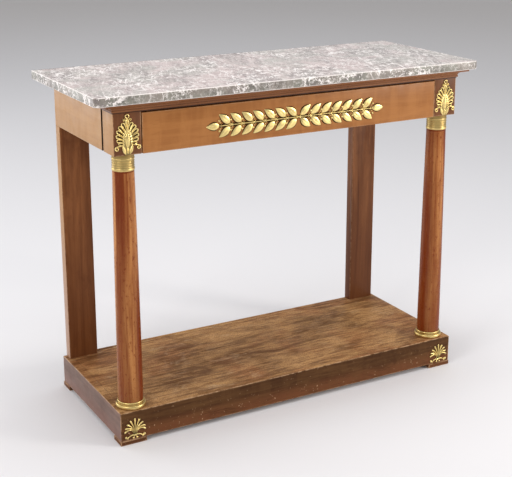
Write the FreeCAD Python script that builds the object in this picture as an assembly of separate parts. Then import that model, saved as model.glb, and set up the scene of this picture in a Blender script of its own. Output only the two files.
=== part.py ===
import FreeCAD, Part
import math
import os

# A pier table in the Empire manner, in millimetres.
# X runs along the front from left to right, Y runs to the back, Z runs up.
# The origin is on the floor, under the middle of the marble slab.

# Marble slab
slab_length = 1104.0
slab_depth = 442.0
slab_thickness = 23.0
slab_corner_radius = 12.0
slab_arris = 1.5

# Frieze
frieze_height = 101.0
side_overhang = 53.0
front_overhang = 27.0
back_overhang = 16.0
block_width = 71.0
block_depth = 64.0
apron_thickness = 22.0
quirk_width = 9.0
rail_thickness = 22.0
top_rail_depth = 50.0

# Cornice moulding
cornice_height = 23.0
cornice_projection = 25.0
cornice_lip = 3.0
cornice_cove_depth = 6.5
cornice_bead_height = 8.0
cornice_bead_swell = 3.5
cornice_neck_height = 4.0
cornice_neck = 3.0

# Columns with their brass sleeves
column_height = 650.0
shaft_foot_diameter = 64.0
shaft_head_diameter = 54.0
neck_cut = 4.0
sleeve_clearance = 0.3
bead_flats = 3
capital_height = 41.0
capital_bead = 1.0
capital_bead_height = 5.0
ring_height = 18.0
ring_lip = 3.0
ring_torus_height = 10.5
ring_torus_swell = 3.5
ring_bead_height = 4.0
ring_bead_swell = 2.0

# Rear pilasters
pilaster_width = 80.0
pilaster_thickness = 28.0

# Plinth
plinth_height = 75.0
plinth_side_step = 10.0
plinth_front_step = 9.0
plinth_board = 22.0
platform_thickness = 22.0
plinth_block_size = 60.0
platform_bearer_width = 50.0
platform_bearer_height = 20.0

# Feet
foot_height = 12.0
foot_along_front = 70.0
foot_along_side = 46.0
foot_proud = 1.5
foot_nose = 1.2

# Joinery
tenon_thickness = 8.0
tenon_length = 15.0
apron_tenon_length = 20.0
tenon_shoulder = 10.0
rail_tenon_inset = 7.0
rail_tenon_width = 30.0
rail_tenon_height = 12.0
column_tenon_diameter = 22.0
column_tenon_up = 30.0
column_tenon_down = 40.0
tenon_clearance = 0.3
pilaster_tenon_width = 40.0
pilaster_tenon_depth = 20.0

# Drawer
drawer_travel_gap = 2.0
drawer_top_gap = 3.0
drawer_proud = 2.0
drawer_front_thickness = 20.0
drawer_side_thickness = 12.0
drawer_side_height = 74.0
drawer_back_gap = 18.0
drawer_bottom_thickness = 8.0
drawer_bottom_lift = 7.0
groove_depth = 5.0
back_housing = 4.0
back_drop = 4.0
dovetail_count = 3
dovetail_length = 14.0
dovetail_end_width = 15.0
dovetail_neck_width = 10.0
running_gap = 0.3

# Drawer bearers
bearer_thickness = 16.0
bearer_depth = 60.0
bearer_lift = 4.0
runner_inside = 24.0
guide_width = 18.0
guide_height = 20.0
guide_gap = 0.8
kicker_width = 24.0
kicker_thickness = 16.0

# Gilt mounts
mount_thickness = 3.5
mount_backing = 1.5
club_end_steps = 3
leaf_steps = 6
leaf_fullness = 0.85
disc_sides = 12
scallop_flats = 4

# Anthemion on a corner block
anthemion_height = 98.0
anthemion_root_height = 33.0
anthemion_root_radius = 12.5
anthemion_fan_height = 45.5
anthemion_fan_side = 25.3
anthemion_fan_up = 30.5
anthemion_lobes_a_side = 6
anthemion_first_turn = 30.0
anthemion_turn_step = 20.0
anthemion_lobe_root = 2.2
anthemion_lobe_tip = 5.0
anthemion_band_width = 6.4
anthemion_scallop_depth = 0.85
anthemion_droop = 3.0
anthemion_stem_width = 17.0
anthemion_teardrop_width = 16.0
anthemion_teardrop_foot = 12.0
anthemion_teardrop_length = 42.0
anthemion_teardrop_crest = 5.2
anthemion_volute_spread = 29.3
anthemion_volute_height = 16.5
anthemion_volute_radius = 5.6
anthemion_volute_eye = 2.2
anthemion_bud_width = 12.0
anthemion_ring_radius = 4.8
anthemion_ring_eye = 2.2

# Palmette on the plinth
palmette_lift = 2.0
palmette_outset = 8.0
palmette_root_height = 17.0
palmette_root_radius = 7.0
palmette_reach_side = 27.0
palmette_reach_up = 36.0
palmette_fronds_a_side = 4
palmette_spread = 86.0
palmette_frond_root = 3.0
palmette_frond_tip = 2.9
palmette_droop = 6.0
palmette_scroll_spread = 23.0
palmette_scroll_height = 5.0
palmette_scroll_bud = 3.6
palmette_drop_spread = 3.6
palmette_drop_radius = 2.4

# Laurel spray on the drawer front
laurel_lift = 45.0
laurel_half_length = 260.0
laurel_pairs = 7
laurel_pitch = 31.5
laurel_start = 3.0
laurel_leaf_along = 33.0
laurel_leaf_across = 28.5
laurel_leaf_width = 18.5
laurel_stem_width = 3.2
laurel_gap = 0.6

# Levels, from the floor up
z_plinth = foot_height
z_platform = z_plinth + plinth_height
z_frieze = z_platform + column_height
z_cornice = z_frieze + frieze_height
z_slab = z_cornice + cornice_height

# Planes, from the middle out and from front to back
x_slab = slab_length / 2
x_frieze = x_slab - side_overhang
x_block = x_frieze - block_width
x_apron = x_frieze - apron_thickness
x_pilaster = x_frieze - pilaster_width
x_plinth = x_frieze + plinth_side_step
x_platform = x_plinth - plinth_board
y_slab = slab_depth / 2
y_frieze = front_overhang - y_slab
y_back = y_slab - back_overhang
y_block = y_frieze + block_depth
y_apron = y_block + quirk_width
y_pilaster = y_back - pilaster_thickness
y_back_rail = y_back - rail_thickness
y_plinth = y_frieze - plinth_front_step
y_platform = y_plinth + plinth_board
y_platform_back = y_back - plinth_board

# Column axis, under the middle of the left block
x_column = x_block / 2 + x_frieze / 2
y_column = y_frieze + block_depth / 2

# Drawer places
x_drawer = x_block - drawer_travel_gap
x_drawer_inside = x_drawer - drawer_side_thickness
y_drawer_face = y_frieze - drawer_proud
y_drawer_front = y_drawer_face + drawer_front_thickness
y_drawer_end = y_back_rail - drawer_back_gap
y_drawer_back = y_drawer_end - drawer_side_thickness
y_bearer = y_drawer_front + running_gap
y_bearer_back = y_bearer + bearer_depth
z_bearer = z_frieze + bearer_lift
z_runner = z_bearer + bearer_thickness
z_drawer_side = z_runner + running_gap
z_drawer_rim = z_drawer_side + drawer_side_height
z_drawer_bottom = z_drawer_side + drawer_bottom_lift
z_drawer_floor = z_drawer_bottom + drawer_bottom_thickness
z_drawer_top = z_cornice - drawer_top_gap


def vector(x, y, z):
    return FreeCAD.Vector(x, y, z)


def box(x0, x1, y0, y1, z0, z1):
    return Part.makeBox(x1 - x0, y1 - y0, z1 - z0, vector(x0, y0, z0))


def prism(points, z0, z1):
    # An upright prism over a plan outline
    corners = [vector(x, y, z0) for x, y in points]
    face = Part.Face(Part.makePolygon(corners + corners[:1]))
    return face.extrude(vector(0, 0, z1 - z0))


def mirrored(shape):
    return shape.mirror(vector(0, 0, 0), vector(1, 0, 0))


def save(name, shape):
    shape.exportStep("parts/" + name + ".step")


def save_pair(name, left):
    save(name + "_left", left)
    save(name + "_right", mirrored(left))


def line(start, end):
    return Part.LineSegment(start, end).toShape()


def polyline(points):
    return [line(a, b) for a, b in zip(points, points[1:])]


def bezier(poles):
    curve = Part.BezierCurve()
    curve.setPoles(poles)
    return curve.toShape()


# Marble slab

def marble_slab():
    slab = box(-x_slab, x_slab, -y_slab, y_slab, z_slab, z_slab + slab_thickness)
    uprights = [e for e in slab.Edges if abs(e.tangentAt(0).z) > 0.5]
    front = [e for e in uprights if e.CenterOfMass.y < 0]
    slab = slab.makeFillet(slab_corner_radius, front)
    rim = [e for e in slab.Edges if abs(e.BoundBox.ZLength) < slab_arris / 2]
    return slab.makeChamfer(slab_arris, rim)


# Cornice

def cornice_section(place):
    # One profile of the moulding, placed by how far a point stands out and how high it is:
    # a neck, a bead, a cove and a lip
    quirk = cornice_projection - cornice_cove_depth
    bead_top = cornice_neck_height + cornice_bead_height
    bead_start = place(quirk, cornice_neck_height)
    bead_belly = place(quirk + 2 * cornice_bead_swell, cornice_neck_height + cornice_bead_height / 2)
    cove_start = place(quirk, bead_top)
    cove_hollow = place(quirk, cornice_height - cornice_lip)
    cove_end = place(cornice_projection, cornice_height - cornice_lip)
    edges = [
        bezier([bead_start, bead_belly, cove_start]),
        bezier([cove_start, cove_hollow, cove_end]),
    ]
    edges.extend(polyline([
        cove_end,
        place(cornice_projection, cornice_height),
        place(0, cornice_height),
        place(0, 0),
        place(cornice_neck, 0),
        place(cornice_neck, cornice_neck_height),
        bead_start,
    ]))
    return Part.Wire(edges)


def moulding(start, end):
    return Part.makeLoft([cornice_section(start), cornice_section(end)], True, True)


def cornice_front():
    def left_mitre(p, h):
        return vector(-x_frieze - p, y_frieze - p, z_cornice + h)

    def right_mitre(p, h):
        return vector(x_frieze + p, y_frieze - p, z_cornice + h)

    return moulding(right_mitre, left_mitre)


def cornice_return():
    # A short length round the side of the left block, cut square at the block's back
    def mitre(p, h):
        return vector(-x_frieze - p, y_frieze - p, z_cornice + h)

    def square_end(p, h):
        return vector(-x_frieze - p, y_block, z_cornice + h)

    return moulding(mitre, square_end)


# Frieze frame

def apron_tenon():
    middle = x_frieze - apron_thickness / 2
    half = tenon_thickness / 2
    return box(-middle - half, -middle + half, y_block - apron_tenon_length, y_apron,
               z_frieze + tenon_shoulder, z_slab - tenon_shoulder)


def rail_tenon(y_face, z_low, z_high):
    # Tenon of a front rail, in the inner face of the left block
    y_start = y_face + rail_tenon_inset
    middle = (z_low + z_high) / 2
    return box(-x_block - tenon_length, -x_block, y_start, y_start + rail_tenon_width,
               middle - rail_tenon_height / 2, middle + rail_tenon_height / 2)


def top_rail_tenon():
    return rail_tenon(y_frieze, z_cornice, z_slab)


def bearer_tenon():
    return rail_tenon(y_bearer, z_bearer, z_runner)


def column_socket(z_low, z_high):
    radius = column_tenon_diameter / 2 + tenon_clearance
    return Part.makeCylinder(radius, z_high - z_low, vector(-x_column, y_column, z_low))


def corner_block():
    block = box(-x_frieze, -x_block, y_frieze, y_block, z_frieze, z_slab)
    socket = column_socket(z_frieze, z_frieze + column_tenon_up + tenon_clearance)
    return block.cut([socket, apron_tenon(), top_rail_tenon(), bearer_tenon()])


def side_apron():
    board = box(-x_frieze, -x_apron, y_apron, y_back, z_frieze, z_slab)
    return board.fuse(apron_tenon()).removeSplitter()


def with_both_tenons(rail, left_tenon):
    return rail.fuse([left_tenon, mirrored(left_tenon)]).removeSplitter()


def front_top_rail():
    rail = box(-x_block, x_block, y_frieze, y_frieze + top_rail_depth, z_cornice, z_slab)
    return with_both_tenons(rail, top_rail_tenon())


def drawer_bearer():
    rail = box(-x_block, x_block, y_bearer, y_bearer_back, z_bearer, z_runner)
    return with_both_tenons(rail, bearer_tenon())


def back_rail_tenon():
    middle = y_back - rail_thickness / 2
    half = tenon_thickness / 2
    return box(-x_pilaster - tenon_length, -x_pilaster, middle - half, middle + half,
               z_frieze + tenon_shoulder, z_slab - tenon_shoulder)


def back_rail():
    rail = box(-x_pilaster, x_pilaster, y_back_rail, y_back, z_frieze, z_slab)
    return with_both_tenons(rail, back_rail_tenon())


def drawer_runner():
    return box(-x_block - guide_width, -x_drawer + runner_inside, y_bearer_back, y_pilaster,
               z_bearer, z_runner)


def drawer_guide():
    return box(-x_block - guide_width, -x_drawer - guide_gap, y_bearer_back, y_pilaster,
               z_runner, z_runner + guide_height)


def drawer_kicker():
    return box(-x_pilaster, -x_pilaster + kicker_width, y_frieze + top_rail_depth, y_back_rail,
               z_cornice, z_cornice + kicker_thickness)


# Columns

def turned(edges, x, y):
    # A solid of revolution about the upright axis at x, y, from edges drawn at y = 0 about x = 0
    solid = Part.Face(Part.Wire(edges)).revolve(vector(0, 0, 0), vector(0, 0, 1), 360)
    solid.translate(vector(x, y, 0))
    return solid


def column_shaft():
    tenon = column_tenon_diameter / 2
    foot = shaft_foot_diameter / 2
    head = shaft_head_diameter / 2
    z_foot = z_platform + ring_height
    z_head = z_frieze - capital_height
    low = polyline([
        vector(0, 0, z_platform - column_tenon_down),
        vector(tenon, 0, z_platform - column_tenon_down),
        vector(tenon, 0, z_platform),
        vector(foot - neck_cut, 0, z_platform),
        vector(foot - neck_cut, 0, z_foot),
        vector(foot, 0, z_foot),
    ])
    high = polyline([
        vector(foot, 0, z_foot),
        vector(head, 0, z_head),
        vector(head - neck_cut, 0, z_head),
        vector(head - neck_cut, 0, z_frieze),
        vector(tenon, 0, z_frieze),
        vector(tenon, 0, z_frieze + column_tenon_up),
        vector(0, 0, z_frieze + column_tenon_up),
        vector(0, 0, z_platform - column_tenon_down),
    ])
    return turned(low + high, -x_column, y_column)


def bead_points(start, end, swell):
    # The outline of a band that swells outwards, turned as a few flats; a plain band has no swell
    if not swell:
        return [start, end]
    turns = [math.pi * index / bead_flats for index in range(bead_flats + 1)]
    middle = (start.z + end.z) / 2
    half = (end.z - start.z) / 2
    return [vector(start.x + swell * math.sin(t), 0, middle - half * math.cos(t)) for t in turns]


def sleeve(bore, z_low, sections):
    # A brass sleeve, from bands given as radius, height and how far the band swells outwards
    inner_low = vector(bore, 0, z_low)
    edges = []
    here = inner_low
    for radius, height, swell in sections:
        start = vector(radius, 0, here.z)
        end = vector(radius, 0, here.z + height)
        if here.x != radius:
            edges.append(line(here, start))
        edges.extend(polyline(bead_points(start, end, swell)))
        here = end
    inner_high = vector(bore, 0, here.z)
    edges.append(line(here, inner_high))
    edges.append(line(inner_high, inner_low))
    return turned(edges, -x_column, y_column)


def capital():
    head = shaft_head_diameter / 2
    plain_height = (capital_height - 3 * capital_bead_height) / 2
    plain = (head, plain_height, 0)
    bead = (head, capital_bead_height, capital_bead)
    sections = [bead, plain, bead, plain, bead]
    return sleeve(head - neck_cut + sleeve_clearance, z_frieze - capital_height, sections)


def column_ring():
    foot = shaft_foot_diameter / 2
    band = foot + ring_lip
    fillet_height = ring_height - ring_torus_height - ring_bead_height
    sections = [
        (band, ring_torus_height, ring_torus_swell),
        (foot + ring_lip / 2, fillet_height, 0),
        (foot, ring_bead_height, ring_bead_swell),
    ]
    return sleeve(foot - neck_cut + sleeve_clearance, z_platform, sections)


# Rear pilasters

def pilaster_tenon():
    middle_x = x_pilaster / 2 + x_platform / 2
    middle_y = y_back - plinth_board / 2
    half = tenon_thickness / 2
    return box(-middle_x - pilaster_tenon_width / 2, -middle_x + pilaster_tenon_width / 2,
               middle_y - half, middle_y + half, z_platform - pilaster_tenon_depth, z_platform)


def pilaster():
    # Full width below the frieze, notched above it to take the end of the apron
    stile = box(-x_frieze, -x_pilaster, y_pilaster, y_back, z_platform, z_frieze)
    head = box(-x_apron, -x_pilaster, y_pilaster, y_back, z_frieze, z_slab)
    whole = stile.fuse([head, pilaster_tenon()]).removeSplitter()
    return whole.cut(back_rail_tenon())


# Plinth

def plinth_front():
    outline = [
        (-x_plinth, y_plinth),
        (x_plinth, y_plinth),
        (x_platform, y_platform),
        (-x_platform, y_platform),
    ]
    return prism(outline, z_plinth, z_platform)


def plinth_side():
    outline = [
        (-x_plinth, y_plinth),
        (-x_platform, y_platform),
        (-x_platform, y_back),
        (-x_plinth, y_back),
    ]
    return prism(outline, z_plinth, z_platform)


def plinth_back():
    board = box(-x_platform, x_platform, y_platform_back, y_back, z_plinth, z_platform)
    return board.cut([pilaster_tenon(), mirrored(pilaster_tenon())])


def platform_panel():
    panel = box(-x_platform, x_platform, y_platform, y_platform_back,
                z_platform - platform_thickness, z_platform)
    socket = column_socket(z_platform - platform_thickness, z_platform)
    return panel.cut([socket, mirrored(socket)])


def plinth_block_front():
    block = box(-x_platform, -x_platform + plinth_block_size, y_platform, y_platform + plinth_block_size,
                z_plinth, z_platform - platform_thickness)
    socket = column_socket(z_platform - column_tenon_down - tenon_clearance, z_platform)
    return block.cut(socket)


def plinth_block_rear():
    return box(-x_platform, -x_platform + plinth_block_size,
               y_platform_back - plinth_block_size, y_platform_back,
               z_plinth, z_platform - platform_thickness)


def platform_bearer():
    half = platform_bearer_width / 2
    z_top = z_platform - platform_thickness
    return box(-half, half, y_platform, y_platform_back, z_top - platform_bearer_height, z_top)


# Feet

def foot_front():
    # A flat pad that stands proud of the plinth, with its two outer edges eased above and below
    x_outer = -x_plinth - foot_proud
    y_outer = y_plinth - foot_proud
    pad = box(x_outer, x_outer + foot_along_front, y_outer, y_outer + foot_along_side, 0, foot_height)
    level = [e for e in pad.Edges if abs(e.tangentAt(0).z) < 0.5]
    beside_plinth = [e for e in level if e.BoundBox.XMax < x_outer + foot_nose]
    before_plinth = [e for e in level if e.BoundBox.YMax < y_outer + foot_nose]
    return pad.makeChamfer(foot_nose, beside_plinth + before_plinth)


def foot_rear():
    middle = (y_plinth + y_back) / 2
    return foot_front().mirror(vector(0, middle, 0), vector(0, 1, 0))


# Drawer

def dovetail_tails():
    # Tails on the front end of the left drawer side, evenly spaced over its height
    pitch = drawer_side_height / dovetail_count
    tails = []
    for index in range(dovetail_count):
        middle = z_drawer_side + pitch * (index + 0.5)
        neck = dovetail_neck_width / 2
        end = dovetail_end_width / 2
        y_end = y_drawer_front - dovetail_length
        corners = [
            vector(-x_drawer, y_drawer_front, middle - neck),
            vector(-x_drawer, y_end, middle - end),
            vector(-x_drawer, y_end, middle + end),
            vector(-x_drawer, y_drawer_front, middle + neck),
        ]
        face = Part.Face(Part.makePolygon(corners + corners[:1]))
        tails.append(face.extrude(vector(drawer_side_thickness, 0, 0)))
    return tails


def bottom_panel_space():
    # The room that the drawer bottom takes, with its grooves in the sides and the front
    x_groove = x_drawer_inside + groove_depth
    panel = box(-x_groove, x_groove, y_drawer_front, y_drawer_end, z_drawer_bottom, z_drawer_floor)
    tongue = box(-x_drawer_inside, x_drawer_inside, y_drawer_front - groove_depth, y_drawer_front,
                 z_drawer_bottom, z_drawer_floor)
    return panel.fuse(tongue).removeSplitter()


def drawer_back():
    x_end = x_drawer_inside + back_housing
    return box(-x_end, x_end, y_drawer_back, y_drawer_end, z_drawer_floor, z_drawer_rim - back_drop)


def drawer_front():
    board = box(-x_drawer, x_drawer, y_drawer_face, y_drawer_front, z_frieze, z_drawer_top)
    tails = dovetail_tails()
    return board.cut(tails + [mirrored(t) for t in tails] + [bottom_panel_space()])


def drawer_side():
    side = box(-x_drawer, -x_drawer_inside, y_drawer_front, y_drawer_end, z_drawer_side, z_drawer_rim)
    side = side.fuse(dovetail_tails()).removeSplitter()
    return side.cut([bottom_panel_space(), drawer_back()])


# Gilt mounts, drawn on an upright face with u to the right and v up

class Face:
    # Places points of a mount on an upright face: x and z of its origin, and the face's own y
    def __init__(self, x, y, z):
        self.x = x
        self.y = y
        self.z = z

    def point(self, u, v, depth):
        return vector(self.x + u, self.y - depth, self.z + v)

    def disc(self, u, v, radius, depth):
        # A disc with flats round its edge
        turns = [2 * math.pi * index / disc_sides for index in range(disc_sides)]
        rim = [self.point(u + radius * math.cos(t), v + radius * math.sin(t), 0) for t in turns]
        return flat_face(rim).extrude(vector(0, -depth, 0))

    def eyelet(self, u, v, radius, eye, depth):
        return self.disc(u, v, radius, depth).cut(self.disc(u, v, eye, depth))

    def plate(self, u0, u1, v0, v1, depth):
        return box(self.x + u0, self.x + u1, self.y - depth, self.y, self.z + v0, self.z + v1)


def direction(start, end):
    length = math.hypot(end[0] - start[0], end[1] - start[1])
    return ((end[0] - start[0]) / length, (end[1] - start[1]) / length)


def beside(point, along, offset):
    # A point moved sideways from a direction, to its left for a positive offset
    return (point[0] - along[1] * offset, point[1] + along[0] * offset)


def bent_spine(root, tip, bend, shares):
    # Points along a stalk that bends to its left by up to the given amount
    along = direction(root, tip)
    spine = []
    for share in shares:
        straight = (root[0] + (tip[0] - root[0]) * share, root[1] + (tip[1] - root[1]) * share)
        spine.append(beside(straight, along, bend * 4 * share * (1 - share)))
    return spine


def ridged(face, spine, half_widths, crest):
    # A closed petal on its face: a flat back, and two sloping sides that meet in a raised crest
    left, right, ridge = [], [], []
    widest = max(half_widths)
    last = len(spine) - 1
    for index, (point, half) in enumerate(zip(spine, half_widths)):
        along = direction(spine[max(index - 1, 0)], spine[min(index + 1, last)])
        left.append(face.point(*beside(point, along, half), 0))
        right.append(face.point(*beside(point, along, -half), 0))
        ridge.append(face.point(*point, crest * math.sqrt(half / widest)))
    triangles = []
    for index in range(last):
        for rim in (left, right):
            triangles.append((rim[index], rim[index + 1], ridge[index + 1]))
            triangles.append((rim[index], ridge[index + 1], ridge[index]))
    for end in (0, last):
        triangles.append((left[end], right[end], ridge[end]))
    faces = [flat_face(corners) for corners in triangles if is_open(corners)]
    faces.append(flat_face(without_repeats(left + right[::-1])))
    solid = Part.makeSolid(Part.makeShell(faces))
    return solid if solid.Volume > 0 else solid.reversed()


def is_open(corners):
    a, b, c = corners
    return (b - a).cross(c - a).Length > 1e-6


def without_repeats(points):
    kept = [points[0]]
    for point in points[1:]:
        if point.distanceToPoint(kept[-1]) > 1e-6 and point.distanceToPoint(kept[0]) > 1e-6:
            kept.append(point)
    return kept


def flat_face(corners):
    corners = list(corners)
    return Part.Face(Part.makePolygon(corners + corners[:1]))


def club(face, root, tip, bend, root_width, tip_radius):
    # A lobe: a bent stalk that widens to a round end
    length = math.hypot(tip[0] - root[0], tip[1] - root[1])
    along = direction(root, tip)
    far = (tip[0] + along[0] * tip_radius, tip[1] + along[1] * tip_radius)
    shoulder = length / (length + tip_radius)
    turns = [math.pi / 2 * index / club_end_steps for index in range(club_end_steps + 1)]
    shares = [0, shoulder / 2] + [shoulder + (1 - shoulder) * math.sin(t) for t in turns]
    widths = [root_width / 2, root_width / 4 + tip_radius / 2] + [tip_radius * math.cos(t) for t in turns]
    widths[-1] = 0
    return ridged(face, bent_spine(root, far, bend, shares), widths, mount_thickness)


def leaf(face, root, tip, width, crest):
    # A pointed leaf, widest a little before its middle
    shares = [index / leaf_steps for index in range(leaf_steps + 1)]
    widths = [width / 2 * math.sin(math.pi * share ** leaf_fullness) for share in shares]
    widths[-1] = 0
    return ridged(face, bent_spine(root, tip, 0, shares), widths, crest)


def fused(shapes):
    return shapes[0].fuse(shapes[1:]).removeSplitter()


def fan_tip(angle, reach_side, reach_up):
    # Where a lobe at this angle from upright meets the fan's oval outline
    across = math.sin(angle)
    up = math.cos(angle)
    reach = 1 / math.hypot(across / reach_side, up / reach_up)
    return (reach * across, reach * up)


def anthemion_tips():
    # The lobes' ends on an oval, from left to right, with the finial's foot in the middle
    right = []
    for index in range(anthemion_lobes_a_side):
        turn = math.radians(anthemion_first_turn + anthemion_turn_step * index)
        up = anthemion_fan_height + anthemion_fan_up * math.cos(turn)
        right.append((anthemion_fan_side * math.sin(turn), up))
    left = [(-across, up) for across, up in reversed(right)]
    return left + [(0, anthemion_fan_height + anthemion_fan_up)] + right


def scalloped_band(face, tips, root):
    # A thin border behind the lobes' ends, with one scallop round each end
    valleys = [halfway(a, b) for a, b in zip(tips, tips[1:])]
    valleys = [across_from(valleys[0], tips[0])] + valleys + [across_from(valleys[-1], tips[-1])]
    outer = [valleys[0]]
    inner = []
    for index, tip in enumerate(tips):
        outward = direction(root, tip)
        outer.extend(scallop(valleys[index], valleys[index + 1], outward))
        inner.append(moved(tip, outward, -anthemion_band_width))
    outline = [face.point(*corner, 0) for corner in outer + inner[::-1]]
    return flat_face(outline).extrude(vector(0, -mount_backing, 0))


def scallop(start, end, outward):
    # The corners of one scallop after its start, bulging outwards
    middle = halfway(start, end)
    along = direction(start, end)
    half_span = math.dist(start, end) / 2
    corners = []
    for index in range(1, scallop_flats + 1):
        turn = math.pi * index / scallop_flats
        beyond = moved(middle, along, -half_span * math.cos(turn))
        corners.append(moved(beyond, outward, half_span * anthemion_scallop_depth * math.sin(turn)))
    return corners


def halfway(a, b):
    return ((a[0] + b[0]) / 2, (a[1] + b[1]) / 2)


def across_from(point, centre):
    return (2 * centre[0] - point[0], 2 * centre[1] - point[1])


def moved(point, along, distance):
    return (point[0] + along[0] * distance, point[1] + along[1] * distance)


def anthemion():
    face = Face(-x_column, y_frieze, z_frieze + (frieze_height - anthemion_height) / 2)
    root = (0, anthemion_root_height)
    tips = anthemion_tips()
    pieces = [
        face.disc(*root, anthemion_root_radius, mount_thickness),
        face.plate(-anthemion_stem_width / 2, anthemion_stem_width / 2, 0, root[1], mount_thickness),
        scalloped_band(face, tips, root),
    ]
    start_radius = anthemion_root_radius - anthemion_lobe_root / 2
    finial_foot = tips[anthemion_lobes_a_side]
    for tip in tips:
        if tip != finial_foot:
            start = moved(root, direction(root, tip), start_radius)
            bend = math.copysign(anthemion_droop, tip[0])
            pieces.append(club(face, start, tip, bend, anthemion_lobe_root, anthemion_lobe_tip))
    low = (0, anthemion_teardrop_foot)
    teardrop_tip = moved(low, (0, 1), anthemion_teardrop_length)
    teardrop = leaf(face, low, teardrop_tip, anthemion_teardrop_width, anthemion_teardrop_crest)
    pieces.append(teardrop)
    finial_root = moved(finial_foot, (0, -1), anthemion_band_width)
    pieces.append(leaf(face, finial_root, (0, anthemion_height), anthemion_bud_width, mount_thickness))
    ring = (0, anthemion_height - anthemion_ring_radius)
    pieces.append(face.eyelet(*ring, anthemion_ring_radius, anthemion_ring_eye, mount_backing))
    for hand in (1, -1):
        pieces.extend(anthemion_volute(face, hand, low))
    return fused(pieces)


def anthemion_volute(face, hand, low):
    # A curl at the foot of the fan, on a short arm from the stem
    centre = (hand * anthemion_volute_spread, anthemion_volute_height)
    arm_end = moved(centre, (-hand, 0), anthemion_volute_radius)
    arm_width = anthemion_lobe_root * 2
    arm = club(face, low, arm_end, hand * anthemion_droop, arm_width, anthemion_lobe_root)
    return [arm, face.eyelet(*centre, anthemion_volute_radius, anthemion_volute_eye, mount_thickness)]


def palmette():
    face = Face(-x_column - palmette_outset, y_plinth, z_plinth + palmette_lift)
    root = palmette_root_height
    start_radius = palmette_root_radius - palmette_frond_root / 2
    pieces = [face.disc(0, root, palmette_root_radius, mount_thickness)]
    count = palmette_fronds_a_side
    for index in range(-count, count + 1):
        angle = math.radians(palmette_spread * index / count)
        start = (start_radius * math.sin(angle), root + start_radius * math.cos(angle))
        across, up = fan_tip(angle, palmette_reach_side, palmette_reach_up)
        droop = palmette_droop * index / count
        pieces.append(club(face, start, (across, root + up), droop, palmette_frond_root, palmette_frond_tip))
    for hand in (1, -1):
        bud = (hand * palmette_scroll_spread, palmette_scroll_height)
        start = (hand * palmette_drop_spread, root - palmette_root_radius / 2)
        droop = -hand * palmette_droop
        pieces.append(club(face, start, bud, droop, palmette_frond_root, palmette_scroll_bud))
        drop = (hand * palmette_drop_spread, root - palmette_root_radius)
        pieces.append(face.disc(*drop, palmette_drop_radius, mount_thickness))
    return fused(pieces)


def laurel_branch():
    # The left branch, whose stem runs outwards from the middle of the drawer front
    face = Face(0, y_drawer_face, z_frieze + laurel_lift)
    stem_end = laurel_start + laurel_pairs * laurel_pitch
    half_stem = laurel_stem_width / 2
    pieces = [face.plate(-stem_end - half_stem, -laurel_gap / 2, -half_stem, half_stem, mount_thickness)]
    for index in range(laurel_pairs):
        root_u = -laurel_start - laurel_pitch * index
        for hand in (1, -1):
            tip = (root_u - laurel_leaf_along, hand * laurel_leaf_across)
            pieces.append(leaf(face, (root_u, 0), tip, laurel_leaf_width, mount_thickness))
    pieces.append(leaf(face, (-stem_end, 0), (-laurel_half_length, 0), laurel_leaf_width, mount_thickness))
    return fused(pieces)


os.makedirs("parts", exist_ok=True)

save("marble_top", marble_slab())
save("cornice_front", cornice_front())
save_pair("cornice_return", cornice_return())
save_pair("corner_block", corner_block())
save_pair("side_apron", side_apron())
save("front_top_rail", front_top_rail())
save("drawer_bearer", drawer_bearer())
save("back_rail", back_rail())
save_pair("drawer_runner", drawer_runner())
save_pair("drawer_guide", drawer_guide())
save_pair("drawer_kicker", drawer_kicker())
save_pair("column_shaft", column_shaft())
save_pair("column_capital", capital())
save_pair("column_ring", column_ring())
save_pair("pilaster", pilaster())
save("plinth_front", plinth_front())
save_pair("plinth_side", plinth_side())
save("plinth_back", plinth_back())
save("platform_panel", platform_panel())
save_pair("plinth_block_front", plinth_block_front())
save_pair("plinth_block_rear", plinth_block_rear())
save("platform_bearer", platform_bearer())
save_pair("foot_front", foot_front())
save_pair("foot_rear", foot_rear())
save("drawer_front", drawer_front())
save_pair("drawer_side", drawer_side())
save("drawer_back", drawer_back())
save("drawer_bottom", bottom_panel_space())
save_pair("anthemion", anthemion())
save_pair("palmette", palmette())
save_pair("laurel_branch", laurel_branch())
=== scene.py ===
import random
from math import copysign, cos, degrees, dist, exp, hypot, pi, radians, sin, sqrt

import bmesh
import bpy
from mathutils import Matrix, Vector


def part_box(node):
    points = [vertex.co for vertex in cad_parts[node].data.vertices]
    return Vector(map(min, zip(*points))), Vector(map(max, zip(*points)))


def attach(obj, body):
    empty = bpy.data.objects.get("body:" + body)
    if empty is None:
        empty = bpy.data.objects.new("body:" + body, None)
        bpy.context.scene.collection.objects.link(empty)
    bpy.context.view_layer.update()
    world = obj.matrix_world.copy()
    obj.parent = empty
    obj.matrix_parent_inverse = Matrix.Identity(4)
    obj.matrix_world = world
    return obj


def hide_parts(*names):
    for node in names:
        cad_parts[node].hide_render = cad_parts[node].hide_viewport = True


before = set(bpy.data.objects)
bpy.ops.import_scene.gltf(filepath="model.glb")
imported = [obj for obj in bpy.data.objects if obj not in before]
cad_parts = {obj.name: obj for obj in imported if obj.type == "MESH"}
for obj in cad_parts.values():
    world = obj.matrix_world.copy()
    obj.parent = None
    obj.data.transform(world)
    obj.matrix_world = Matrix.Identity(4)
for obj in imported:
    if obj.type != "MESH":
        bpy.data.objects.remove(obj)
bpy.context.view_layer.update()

# A pier table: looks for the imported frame, in metres.
# X runs along the front from left to right, Y runs to the back, Z runs up.

# Which way each end of the table lies along X
HANDS = {"left": -1, "right": 1}

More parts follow.
